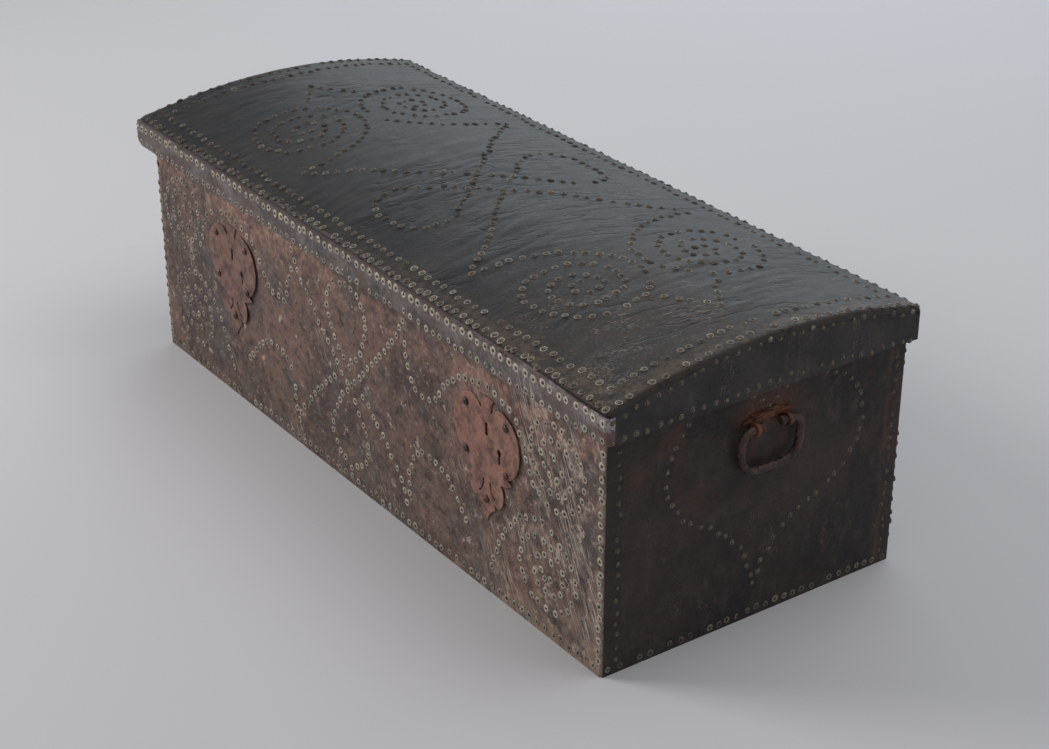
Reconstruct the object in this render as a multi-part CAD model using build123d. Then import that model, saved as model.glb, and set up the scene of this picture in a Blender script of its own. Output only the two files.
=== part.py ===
from build123d import *
from math import asin, cos, sin, sqrt
import os

# Leather-covered wooden coffer with a shallow domed lid.
# Origin: centre of the footprint on the floor. +X runs along the length to the
# right, +Y to the hinged back, +Z up. All sizes are in millimetres.

# ---- Driving dimensions: body ----
body_length = 1150.0            # over the leather
body_depth = 480.0              # over the leather
body_height = 338.0             # floor to the lid joint
board = 20.0                    # wall boards
leather = 2.0                   # hide on every outer face
corner_round = 5.0              # outer vertical corners, over the leather
hide_wrap = 28.0                # front and back hides turned round onto the ends
tail_count = 5                  # dovetails per corner
tail_share = 0.56               # tail width at its root, as a share of the pitch
tail_slope = 1 / 6              # flare of a tail per unit of board thickness

# ---- Driving dimensions: bottom ----
bottom_board = 14.0
bottom_lift = 8.0               # underside of the bottom above the floor
groove_depth = 6.0
bottom_count = 3
lap_width = 8.0                 # ship-lap between bottom boards
fit = 0.3                       # clearance where one wooden piece slides in another
seat = 0.05                     # clearance where one piece is driven tight on another

# ---- Driving dimensions: lid ----
end_overhang = 18.0             # lid beyond the body at each end
front_overhang = 12.0           # lid beyond the body at the front
lip_drop = 6.0                  # lips hang below the joint
lip_gap = 0.6                   # between the lips and the body hides
shoulder_height = 40.0          # joint to the foot of the arch
arch_rise = 32.0                # foot of the arch to the crown
nose_round = 12.0               # front and back top edges, over the leather
stave = 12.0                    # thickness of the lid staves
stave_count = 6
seam_drop = 10.0                # top hide ends this far below the shoulder
lid_board = 20.0                # rails and end boards of the lid frame

# ---- Driving dimensions: handles ----
eye_spacing = 51.0
handle_y = 7.5                  # middle of the handle along the end
handle_drop = 59.0              # lid joint down to the pivot line
bail_rod = 10.5
bail_width = 95.0               # between centrelines
bail_reach = 58.5               # pivot line to the centreline of the grip
bail_top_bend = 15.0
bail_grip_bend = 27.0
bend_facets = 3                 # straight lengths that a forged bend is made of
bail_end = 9.0                  # rod past the middle of each eye
cotter_strip = (6.0, 3.4)        # width and thickness of the bent strip
cotter_leg = 17.0               # clenched leg on the inner face
cotter_leg_tip = 1.2            # thickness where a leg ends
bail_knob = (1.2, 3.0)          # upset end of the rod: added radius and length
eye_clearance = 0.3

# ---- Driving dimensions: locks ----
lock_spacing = 668.0            # between the two lock plates
plate = 2.0
plate_half_width = 73.0
leaf_slit = 2.0                 # cut between each curled leaf and the middle stem of the foot
plate_drop = 54.0               # lid joint down to the top of the plate's tab
plate_height = 178.0            # tab down to the lower point
lock_nail_reach = 45.5          # nails to each side of the middle
lock_nail_drops = (24.0, 91.0)  # below the top of the plate, as are the next four
foot_nail_drop = 145.0
staple_drop = 45.0
key_drop = 67.0
mortise_drop = 56.0
staple_slot = (5.0, 18.0)
key_offset = 28.0               # keyhole to the right of the staple slot
key_hole_radius = 4.4
key_slot = (3.8, 17.0)
mortise = (84.0, 56.0)
mortise_offset = 18.0           # middle of the mortise to the right of the staple slot
web = 4.0                       # wood left in front of the mortise
case_rim = 6.0                  # case plate past the mortise on each side
case_plate = 2.0
bolt = (48.0, 6.0, 10.0)
bolt_nose = 4.0                 # nose to the right of the staple slot, unlocked
bolt_travel = 14.0
slide_fit = 0.3
guide_width = 8.0
guide_wall = 2.2
guide_places = (-20.0, 40.0)    # left edges of the two guides, from the staple slot
talon = (10.0, 3.5)             # notch that the key's bit turns in: width and depth
key_pin_radius = 1.6
spring_leaf = 1.2
spring_seat = 0.8               # middle of the leaf below the top of the mortise
case_nail = (2.6, 1.4, 11.0)    # head radius, head height, length

# ---- Driving dimensions: hinges ----
hinge_spacing = 720.0
pin_radius = 3.0
pin_fit = 0.08
knuckle_radius = 5.85
knuckle_length = 16.0
knuckle_gap = 0.3
strap = 2.5
strap_length = 150.0
strap_end_width = 22.0
strap_disc_radius = 16.0
leaf_width = 92.0
leaf_height = 26.0
hinge_seat = 0.3                # knuckle clear of the hides
strap_nails = ((0, 0), (0, 42), (10, 94), (-10, 106))          # from the middle of the disc
leaf_nails = ((37, 13), (20, 8), (-20, 8), (-37, 13))          # from the middle of the leaf's foot
pin_head = (1.4, 2.2)           # added radius and length of each riveted end

# ---- Driving dimensions: nails ----
nail_head_radius = 5.2
nail_head_height = 3.4
nail_shank = 2.7                # square shank
nail_length = 13.0
nail_bevel = 0.6                # share of the head's height and radius that slopes

# ---- Derived ----
wood_length = body_length - 2 * leather
wood_depth = body_depth - 2 * leather
room_length = wood_length - 2 * board
room_depth = wood_depth - 2 * board
pivot_height = body_height - handle_drop
front_y = -body_depth / 2
back_y = body_depth / 2
inner_front_y = front_y + leather + board
lid_front_y = front_y - front_overhang
lid_end_x = body_length / 2 + end_overhang
lid_low_z = body_height - lip_drop
shoulder_z = body_height + shoulder_height
seam_z = shoulder_z - seam_drop
chord = back_y - lid_front_y
arch_radius = ((chord / 2) ** 2 + arch_rise ** 2) / (2 * arch_rise)
arch_y = (back_y + lid_front_y) / 2
arch_z = shoulder_z + arch_rise - arch_radius
pivot_y = back_y + hinge_seat + knuckle_radius
plate_top = body_height - plate_drop
plate_tip = plate_top - plate_height
staple_height = plate_top - staple_drop
key_height = plate_top - key_drop
mortise_height = plate_top - mortise_drop
eye_inner = bail_rod / 2 + eye_clearance
eye_outer = eye_inner + cotter_strip[1]
eye_x = body_length / 2 + eye_outer + eye_clearance


def block(x0, x1, y0, y1, z0, z1):
    """A box between two corners."""
    centre = ((x0 + x1) / 2, (y0 + y1) / 2, (z0 + z1) / 2)
    return Pos(*centre) * Box(x1 - x0, y1 - y0, z1 - z0)


def facing_front(sketch, y, thickness):
    """A sketch in x and height, raised from the plane at y towards the front."""
    return extrude(Plane((0, y, 0), x_dir=(1, 0, 0), z_dir=(0, -1, 0)) * sketch, thickness)


def facing_back(sketch, y, thickness):
    """A sketch in x and height, raised from the plane at y towards the back."""
    return Pos(0, y + thickness, 0) * facing_front(sketch, 0, thickness)


def across(sketch, x0, x1):
    """A sketch in depth and height, drawn out along the length from x0 to x1."""
    return extrude(Plane((x0, 0, 0), x_dir=(0, 1, 0), z_dir=(1, 0, 0)) * sketch, x1 - x0)


# ---- Nails: a hammered, eight-sided head on a square shank along -Z, before it is turned ----
def nail(head_radius=nail_head_radius, head_height=nail_head_height, length=nail_length):
    head = chamfer(
        extrude(RegularPolygon(head_radius, 8), head_height).faces().sort_by(Axis.Z)[-1].edges(),
        length=head_height * nail_bevel, length2=head_radius * nail_bevel,
    )
    return head + Pos(0, 0, -length / 2) * Box(nail_shank, nail_shank, length)


def nails_in_front(points, y):
    """Nails driven from the front into the plane at y, at points of x and height."""
    return [Pos(x, y, z) * Rot(90, 0, 0) * nail() for x, z in points]


def nails_in_back(points, y):
    """Nails driven from the back into the plane at y, at points of x and height."""
    return [Pos(x, y, z) * Rot(-90, 0, 0) * nail() for x, z in points]


def nail_holes(points, y, reach):
    """Clearance for the shanks on both sides of the plane at y."""
    width = nail_shank + 2 * seat
    return [Pos(x, y, z) * Box(width, 2 * reach, width) for x, z in points]


# ---- Lock positions: both locks are made to one pattern ----
lock_centres = (-lock_spacing / 2, lock_spacing / 2)
lock_points = [(s * lock_nail_reach, plate_top - drop) for s in (-1, 1) for drop in lock_nail_drops]
lock_points.append((0, plate_top - foot_nail_drop))
hinge_centres = (-hinge_spacing / 2, hinge_spacing / 2)
strap_top_z = body_height - knuckle_radius - knuckle_gap
strap_foot_z = strap_top_z - strap_length
strap_points = [(x, strap_foot_z + z) for x, z in strap_nails]
leaf_low_z = body_height + knuckle_radius + knuckle_gap
leaf_points = [(x, leaf_low_z + z) for x, z in leaf_nails]


def at(centre, points):
    return [(centre + x, z) for x, z in points]


# ---- Carcass: four dovetailed boards round a grooved-in bottom ----
def carcass_block():
    plan = RectangleRounded(wood_length, wood_depth, corner_round - leather)
    return extrude(plan, body_height)


def dovetails(x_side, y_side):
    """The tails of one end board, which flare towards the face of the front or back board."""
    pitch = body_height / tail_count
    root = pitch * tail_share / 2
    tip = root + board * tail_slope
    y_root = y_side * room_depth / 2
    y_tip = y_side * wood_depth / 2
    x0, x1 = sorted((x_side * room_length / 2, x_side * wood_length / 2))
    tails = []
    for k in range(tail_count):
        z = pitch * (k + 0.5)
        corners = [(y_root, z - root), (y_tip, z - tip), (y_tip, z + tip), (y_root, z + root)]
        tails.append(across(make_face(Polyline(*corners, close=True)), x0, x1))
    return tails


def bottom_space():
    """The groove that holds the bottom, sunk into all four walls."""
    half_length = room_length / 2 + groove_depth
    half_depth = room_depth / 2 + groove_depth
    return block(
        -half_length, half_length, -half_depth, half_depth,
        bottom_lift, bottom_lift + bottom_board + fit,
    )


def end_board(x_side):
    x0, x1 = sorted((x_side * room_length / 2, x_side * wood_length / 2))
    wall = block(x0, x1, -room_depth / 2, room_depth / 2, 0, body_height)
    for y_side in (-1, 1):
        for tail in dovetails(x_side, y_side):
            wall += tail
    wall = wall & carcass_block()
    return wall - bottom_space() - cotter_holes(x_side)


def long_board(y_side):
    y0, y1 = sorted((y_side * room_depth / 2, y_side * wood_depth / 2))
    wall = block(-wood_length / 2, wood_length / 2, y0, y1, 0, body_height) & carcass_block()
    for x_side in (-1, 1):
        wall -= dovetails(x_side, y_side)
    return wall - bottom_space()


def bottom_boards():
    """Ship-lapped boards that run the length of the chest."""
    half_length = room_length / 2 + groove_depth - fit
    span = room_depth + 2 * groove_depth - 2 * fit
    width = (span - (bottom_count - 1) * fit) / bottom_count
    middle_z = bottom_lift + bottom_board / 2
    top_z = bottom_lift + bottom_board
    boards = []
    for k in range(bottom_count):
        y0 = -span / 2 + k * (width + fit)
        y1 = y0 + width
        plank = block(-half_length, half_length, y0, y1, bottom_lift, top_z)
        if k > 0:
            plank -= block(-half_length, half_length, y0, y0 + lap_width, bottom_lift, middle_z)
        if k < bottom_count - 1:
            plank += block(-half_length, half_length, y1, y1 + lap_width, bottom_lift, middle_z)
        boards.append(plank)
    return boards


# ---- Hides: the front and back ones turn the corners, the end ones butt between them ----
def body_skin():
    outside = extrude(RectangleRounded(body_length, body_depth, corner_round), body_height)
    return outside - carcass_block()


def hide(y0, y1, x_side=0):
    """The part of the skin between two depths, and on one end only if x_side says so."""
    x0 = 0 if x_side > 0 else -body_length / 2
    x1 = 0 if x_side < 0 else body_length / 2
    return body_skin() & block(x0, x1, y0, y1, 0, body_height)


# ---- Locks: pierced plate outside, mortised case with bolt, spring and key pin inside ----
def plate_outline():
    """Two round ears beside a tab, small leaves at the waist, curled leaves and a barbed point."""
    w = plate_half_width
    top = plate_top
    tip = plate_tip
    ear = top - 7
    waist = tip + 79
    half = [
        Line((0, top), (17, top)),
        ThreePointArc((17, top), (12, top - 9), (11, top - 20)),
        ThreePointArc((11, top - 20), (20, top - 11), (34, ear)),
        ThreePointArc((34, ear), (w - 10, ear - 15), (w, ear - 42)),
        ThreePointArc((w, ear - 42), (w - 3, ear - 68), (w - 13, waist + 9)),
        ThreePointArc((w - 13, waist + 9), (w - 21, waist + 4), (w - 29, waist + 3)),
        Line((w - 29, waist + 3), (w - 29, waist + 1.5)),
        ThreePointArc((w - 29, waist + 1.5), (w - 21, waist + 1), (w - 15, waist - 3)),
        ThreePointArc((w - 15, waist - 3), (w - 28, waist - 9), (w - 43, waist - 13)),
        ThreePointArc((w - 43, waist - 13), (w - 33, waist - 30), (w - 41, waist - 46)),
        ThreePointArc((w - 41, waist - 46), (w - 49, waist - 50), (w - 57, waist - 46)),
        Line((w - 57, waist - 46), (19, tip + 23)),
        ThreePointArc((19, tip + 23), (7, tip + 13), (0, tip)),
    ]
    outline = make_face(half + [mirror(edge, Plane.YZ) for edge in half])
    slit = trace(ThreePointArc((8, tip + 60), (9.5, tip + 47), (18, tip + 38)), leaf_slit)
    return outline - slit - mirror(slit, Plane.YZ)


def slot_and_keyhole(grow=0.0):
    """The staple slot and the keyhole, as a sketch round the middle of the plate."""
    slot = Pos(0, staple_height) * Rectangle(staple_slot[0] + 2 * grow, staple_slot[1] + 2 * grow)
    hole = Pos(key_offset, key_height) * Circle(key_hole_radius + grow)
    bit = Rectangle(key_slot[0] + 2 * grow, key_slot[1] + 2 * grow)
    return slot + hole + Pos(key_offset, key_height - key_slot[1] / 2) * bit


def lock_plate(centre):
    blank = Pos(centre, 0) * (plate_outline() - slot_and_keyhole())
    body = facing_front(blank, front_y, plate)
    return body - nail_holes(at(centre, lock_points), front_y, 2 * plate)


def lock_space(centre):
    """Everything that a lock takes out of the front board and its hide."""
    room = case_block(centre, 0, front_y + leather + web)
    rebate = case_block(centre, case_rim, inner_front_y - case_plate)
    ways = facing_front(Pos(centre, 0) * slot_and_keyhole(grow=1.0), front_y + leather + web, leather + web)
    return [room, rebate, ways] + nail_holes(at(centre, lock_points), front_y, nail_length)


def case_block(centre, rim, y0):
    """A block behind the plate, a rim larger than the mortise, from y0 to the inner face of the board."""
    x, z = centre + mortise_offset, mortise_height
    half_width = mortise[0] / 2 + rim
    half_height = mortise[1] / 2 + rim
    return block(x - half_width, x + half_width, y0, inner_front_y, z - half_height, z + half_height)


def bolt_block(centre, grow=0.0):
    length, thickness, height = bolt
    x0 = centre + bolt_nose
    y1 = inner_front_y - case_plate - slide_fit
    return block(
        x0 - grow, x0 + length + grow, y1 - thickness - grow, y1 + grow,
        staple_height - height / 2 - grow, staple_height + height / 2 + grow,
    )


def lock_bolt(centre):
    """A flat bolt with a notch below, which the key's bit turns in."""
    body = bolt_block(centre)
    notch = block(
        centre + key_offset - talon[0] / 2, centre + key_offset + talon[0] / 2, front_y, inner_front_y,
        staple_height - bolt[2], staple_height - bolt[2] / 2 + talon[1],
    )
    body = body - notch
    return chamfer(body.faces().sort_by(Axis.X)[0].edges(), 1.2)


def lock_case(centre):
    """The case plate in its rebate, with two guides that the bolt slides through."""
    y0 = inner_front_y - case_plate
    body = case_block(centre, case_rim - fit, y0)
    reach = bolt[1] + 2 * slide_fit + guide_wall
    half_height = bolt[2] / 2 + slide_fit + guide_wall
    channel = bolt_block(centre, slide_fit)
    channel += Pos(-bolt_travel - 2 * guide_width, 0, 0) * channel
    for place in guide_places:
        guide = block(
            centre + place, centre + place + guide_width, y0 - reach, y0,
            staple_height - half_height, staple_height + half_height,
        )
        body += guide - channel
    return body - case_nail_holes(centre)


def case_points(centre):
    x, z = centre + mortise_offset, mortise_height
    half_width = mortise[0] / 2 + case_rim / 2
    half_height = mortise[1] / 2 + case_rim / 2
    return [(x + i * half_width, z + k * half_height) for i in (-1, 1) for k in (-1, 1)]


def case_nail_holes(centre):
    return nail_holes(case_points(centre), inner_front_y, nail_length)


def case_nails(centre):
    small = nail(*case_nail)
    return [Pos(x, inner_front_y, z) * Rot(-90, 0, 0) * small for x, z in case_points(centre)]


def key_pin(centre):
    """The pin that a pipe key fits over, riveted in the case plate."""
    length = inner_front_y - case_plate - (front_y + leather + 1.0)
    y = inner_front_y - case_plate - length / 2
    return Pos(centre + key_offset, y, key_height) * Rot(90, 0, 0) * Cylinder(key_pin_radius, length)


def bolt_spring(centre):
    """A bent leaf between the top of the mortise and the back of the bolt."""
    top = mortise_height + mortise[1] / 2 - spring_seat
    rest = staple_height + bolt[2] / 2 + slide_fit + 0.6
    x = centre + 10.0
    path = Polyline((x + 26, top), (x + 12, rest + 2.2), (x + 5, rest), (x, rest + 2.5))
    ribbon = trace(path, spring_leaf)
    y = inner_front_y - case_plate - slide_fit
    return facing_front(ribbon, y, bolt[1])


# ---- Handles: a bail hung in two cotter eyes ----
def cotter_holes(x_side):
    """The slots that two cotters pass through, in an end board and its hide."""
    x = x_side * (body_length / 2 - board / 2)
    slot = Box(3 * board, cotter_strip[0] + 2 * seat, 2 * cotter_strip[1] + 2 * seat)
    return [Pos(x, handle_y + s * eye_spacing / 2, pivot_height) * slot for s in (-1, 1)]


def cotter(x_side, y):
    """A flat strip bent round an eye, both legs through the end and clenched up and down inside."""
    width, thickness = cotter_strip
    inner_face = eye_x - room_length / 2 + seat
    reach = thickness + cotter_leg
    shank = Pos((eye_inner + inner_face) / 2, 0) * Rectangle(inner_face - eye_inner, 2 * thickness)
    legs = Polyline(
        (inner_face, -reach), (inner_face, reach), (inner_face + cotter_leg_tip, reach),
        (inner_face + thickness, thickness), (inner_face + thickness, -thickness),
        (inner_face + cotter_leg_tip, -reach), close=True,
    )
    outline = Circle(eye_outer) + shank + make_face(legs) - Circle(eye_inner)
    plane = Plane((x_side * eye_x, y, pivot_height), x_dir=(-x_side, 0, 0), z_dir=(0, x_side, 0))
    return extrude(plane * outline, width / 2, both=True)


def bail(x_side):
    """A forged eight-sided rod, bent in short flats: knobbed ends in the eyes, sides and a grip."""
    inner = eye_spacing / 2 - bail_end
    half = bail_width / 2
    route = FilletPolyline(
        (-inner, 0), (-half, 0), (-half, -bail_reach), (half, -bail_reach), (half, 0), (inner, 0),
        radius=(bail_top_bend, bail_grip_bend, bail_grip_bend, bail_top_bend),
    )
    plane = Plane((x_side * eye_x, handle_y, pivot_height), x_dir=(0, 1, 0), z_dir=(1, 0, 0))
    stops = []                  # each straight's start, and even steps round each bend
    for edge in route.edges():
        count = 1 if edge.geom_type == GeomType.LINE else bend_facets
        stops += [edge @ (k / count) for k in range(count)]
    path = plane * Polyline(*stops, (inner, 0))
    section = Plane(path @ 0, z_dir=path % 0) * RegularPolygon(bail_rod / 2, 8)
    rod = sweep(section, path, transition=Transition.RIGHT)
    swell, length = bail_knob
    for s in (-1, 1):
        end = Plane((x_side * eye_x, handle_y + s * inner, pivot_height), x_dir=(1, 0, 0), z_dir=(0, -s, 0))
        rod += extrude(end * RegularPolygon(bail_rod / 2 + swell, 8), length)
    return rod


# ---- Hinges: strap on the back of the body, leaf on the back of the lid, pin between ----
def knuckle(centre, offset):
    ring = Circle(knuckle_radius) - Circle(pin_radius + pin_fit)
    x0 = centre + offset - knuckle_length / 2
    return across(Pos(pivot_y, body_height) * ring, x0, x0 + knuckle_length)


def pin_space(centre):
    reach = 2 * knuckle_length
    return across(Pos(pivot_y, body_height) * Circle(pin_radius + pin_fit), centre - reach, centre + reach)


def body_strap(centre):
    half = 1.5 * knuckle_length
    shape = Polyline(
        (-half, strap_top_z), (half, strap_top_z), (half - 2, strap_top_z - 30),
        (strap_end_width / 2, strap_foot_z), (-strap_end_width / 2, strap_foot_z),
        (-half + 2, strap_top_z - 30), close=True,
    )
    blank = make_face(shape) + Pos(0, strap_foot_z) * Circle(strap_disc_radius)
    body = facing_back(Pos(centre, 0) * blank, back_y, strap)
    tongue = block(
        centre - knuckle_length / 2, centre + knuckle_length / 2, back_y + hinge_seat, back_y + strap,
        strap_top_z - 1, body_height,
    )
    body += tongue
    body += knuckle(centre, 0)
    return body - pin_space(centre) - nail_holes(at(centre, strap_points), back_y, nail_length)


def lid_leaf(centre):
    half = leaf_width / 2
    top = leaf_low_z + leaf_height
    shape = Polyline(
        (-half + 14, leaf_low_z), (half - 14, leaf_low_z), (half, leaf_low_z + 12), (half - 3, top - 3),
        (half - 10, top), (-half + 10, top), (-half + 3, top - 3), (-half, leaf_low_z + 12), close=True,
    )
    body = facing_back(Pos(centre, 0) * make_face(shape), back_y, strap)
    for side in (-1, 1):
        offset = side * (knuckle_length + knuckle_gap)
        body += block(
            centre + offset - knuckle_length / 2, centre + offset + knuckle_length / 2,
            back_y + hinge_seat, back_y + strap, body_height, leaf_low_z + 1,
        )
        body += knuckle(centre, offset)
    return body - pin_space(centre) - nail_holes(at(centre, leaf_points), back_y, nail_length)


def hinge_pin(centre):
    length = 3 * knuckle_length + 4 * knuckle_gap
    pin = across(Pos(pivot_y, body_height) * Circle(pin_radius), centre - length / 2, centre + length / 2)
    for side in (-1, 1):
        x = centre + side * length / 2
        x0, x1 = sorted((x, x + side * pin_head[1]))
        pin += across(Pos(pivot_y, body_height) * Circle(pin_radius + pin_head[0]), x0, x1)
    return pin


# ---- Lid: frame of rails and end boards, lips that cover the joint, staves over the arch ----
def lid_section(inset, low):
    """The lid's cross-section, a given depth under the hide and down to a given height."""
    front = lid_front_y + inset
    back = back_y - inset
    radius = arch_radius - inset
    foot_front = arch_z + sqrt(radius ** 2 - (front - arch_y) ** 2)
    foot_back = arch_z + sqrt(radius ** 2 - (back - arch_y) ** 2)
    edges = [
        Line((front, low), (front, foot_front)),
        ThreePointArc((front, foot_front), (arch_y, arch_z + radius), (back, foot_back)),
        Polyline((back, foot_back), (back, low), (front, low)),
    ]
    face = Sketch() + make_face(edges)
    shoulders = face.vertices().group_by(Axis.Y)[1:]
    return fillet([v for group in shoulders for v in group], nose_round - inset)


def under_staves():
    return Pos(arch_y, arch_z) * Circle(arch_radius - leather - stave)


def lid_wood(y0, y1, z0, x0, x1):
    """A piece of the lid frame whose top edge fits the underside of the staves."""
    crown = shoulder_z + arch_rise
    column = Pos((y0 + y1) / 2, (z0 + crown) / 2) * Rectangle(y1 - y0, crown - z0)
    return across(column & under_staves(), x0, x1)


frame_front_y = front_y - lip_gap
frame_end_x = body_length / 2 + lip_gap
lip_front_y = lid_front_y + leather
lip_end_x = lid_end_x - leather
lip_low_z = lid_low_z + leather
frame_back_y = back_y - leather


def lid_rail(y0, y1):
    return lid_wood(y0, y1, body_height, -frame_end_x, frame_end_x)


def lid_end_board(x_side):
    x0, x1 = sorted((x_side * (frame_end_x - lid_board), x_side * frame_end_x))
    return lid_wood(frame_front_y + lid_board, frame_back_y - lid_board, body_height, x0, x1)


def lid_end_lip(x_side):
    x0, x1 = sorted((x_side * frame_end_x, x_side * lip_end_x))
    return lid_wood(frame_front_y, frame_back_y, lip_low_z, x0, x1)


def lid_front_lip():
    return lid_wood(lip_front_y, frame_front_y, lip_low_z, -lip_end_x, lip_end_x)


def lid_staves():
    """Bevelled staves, cut out of one arched shell by planes through the arch's centre."""
    shell = across(lid_section(leather, body_height) - under_staves(), -lip_end_x, lip_end_x)
    start = asin((lid_front_y + leather - arch_y) / arch_radius)
    stop = asin((back_y - leather - arch_y) / arch_radius)
    reach = 1.2 * arch_radius
    staves = []
    for k in range(stave_count):
        cuts = [start + (stop - start) * (k + i) / stave_count for i in (0, 1)]
        if k == 0:
            cuts[0] = start - 0.2
        if k == stave_count - 1:
            cuts[1] = stop + 0.2
        corners = [(arch_y + reach * sin(a), arch_z + reach * cos(a)) for a in cuts]
        wedge = make_face(Polyline((arch_y, arch_z), *corners, close=True))
        staves.append(shell & across(wedge, -lid_end_x, lid_end_x))
    return staves


def lid_top_hide():
    skin = lid_section(0, lid_low_z) - lid_section(leather, lid_low_z)
    above = Pos(arch_y, seam_z + arch_radius / 2) * Rectangle(2 * chord, arch_radius)
    return across(skin & above, -lid_end_x, lid_end_x)


def lid_front_hide():
    """The band on the front lip, turned under its lower edge."""
    outside = block(-lid_end_x, lid_end_x, lid_front_y, frame_front_y, lid_low_z, seam_z)
    inside = block(-lip_end_x, lip_end_x, lip_front_y, frame_front_y, lip_low_z, seam_z)
    return outside - inside


def lid_end_hide(x_side):
    """The band on an end lip, turned under its lower edge, up to the top hide."""
    x0, x1 = sorted((x_side * frame_end_x, x_side * lid_end_x))
    below = lid_section(leather, lid_low_z)
    slab = across(below, x0, x1) & block(x0, x1, frame_front_y, frame_back_y, lid_low_z, 2 * shoulder_z)
    nose = across(below, *sorted((x_side * lip_end_x, x_side * lid_end_x)))
    slab += nose & block(x0, x1, lip_front_y, frame_front_y, seam_z, 2 * shoulder_z)
    lip_x0, lip_x1 = sorted((x_side * frame_end_x, x_side * lip_end_x))
    lip = block(lip_x0, lip_x1, frame_front_y, frame_back_y, lip_low_z, 2 * shoulder_z)
    return slab - lip


def lid_back_hide():
    """The hide on the back rail, between the end bands."""
    return block(-lip_end_x, lip_end_x, frame_back_y, back_y, body_height, seam_z)


# ---- Assembly ----
parts = {}

front = long_board(-1)
front_hide = hide(front_y, front_y + hide_wrap)
back = long_board(1)
back_hide = hide(back_y - hide_wrap, back_y)
for centre in lock_centres:
    front -= lock_space(centre) + case_nail_holes(centre)
    front_hide -= lock_space(centre)
for centre in hinge_centres:
    holes = nail_holes(at(centre, strap_points), back_y, nail_length)
    back -= holes
    back_hide -= holes
parts["front_board"] = front
parts["back_board"] = back
parts["front_hide"] = front_hide
parts["back_hide"] = back_hide
for k, plank in enumerate(bottom_boards()):
    parts[("bottom_board_front", "bottom_board_middle", "bottom_board_back")[k]] = plank

for side, name in ((-1, "left"), (1, "right")):
    parts[f"{name}_end_board"] = end_board(side)
    parts[f"{name}_end_hide"] = hide(front_y + hide_wrap, back_y - hide_wrap, side) - cotter_holes(side)
    parts[f"{name}_handle_cotters"] = Compound(
        [cotter(side, handle_y + s * eye_spacing / 2).solid() for s in (-1, 1)]
    )
    parts[f"{name}_handle_bail"] = bail(side)
    parts[f"lid_{name}_end_board"] = lid_end_board(side)
    parts[f"lid_{name}_lip"] = lid_end_lip(side)
    parts[f"lid_{name}_hide"] = lid_end_hide(side)

for centre, name in zip(lock_centres, ("left", "right")):
    parts[f"{name}_lock_plate"] = lock_plate(centre)
    parts[f"{name}_lock_nails"] = Compound(nails_in_front(at(centre, lock_points), front_y - plate))
    parts[f"{name}_lock_case"] = lock_case(centre)
    parts[f"{name}_lock_case_nails"] = Compound(case_nails(centre))
    parts[f"{name}_lock_bolt"] = lock_bolt(centre)
    parts[f"{name}_lock_spring"] = bolt_spring(centre)
    parts[f"{name}_lock_key_pin"] = key_pin(centre)

for centre, name in zip(hinge_centres, ("left", "right")):
    parts[f"{name}_hinge_strap"] = body_strap(centre)
    parts[f"{name}_hinge_leaf"] = lid_leaf(centre)
    parts[f"{name}_hinge_pin"] = hinge_pin(centre)
    parts[f"{name}_strap_nails"] = Compound(nails_in_back(at(centre, strap_points), back_y + strap))
    parts[f"{name}_leaf_nails"] = Compound(nails_in_back(at(centre, leaf_points), back_y + strap))

back_rail = lid_rail(frame_back_y - lid_board, frame_back_y)
back_band = lid_back_hide()
for centre in hinge_centres:
    holes = nail_holes(at(centre, leaf_points), back_y, nail_length)
    back_rail -= holes
    back_band -= holes
parts["lid_front_rail"] = lid_rail(frame_front_y, frame_front_y + lid_board)
parts["lid_back_rail"] = back_rail
parts["lid_front_lip"] = lid_front_lip()
parts["lid_front_hide"] = lid_front_hide()
parts["lid_back_hide"] = back_band
parts["lid_top_hide"] = lid_top_hide()
for k, piece in enumerate(lid_staves()):
    parts[f"lid_stave_{k + 1}"] = piece

os.makedirs("parts", exist_ok=True)
for node, shape in parts.items():
    export_step(shape, f"parts/{node}.step")
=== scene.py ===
import bmesh
import bpy
import math
import random
from mathutils import Matrix, Vector, noise


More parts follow.
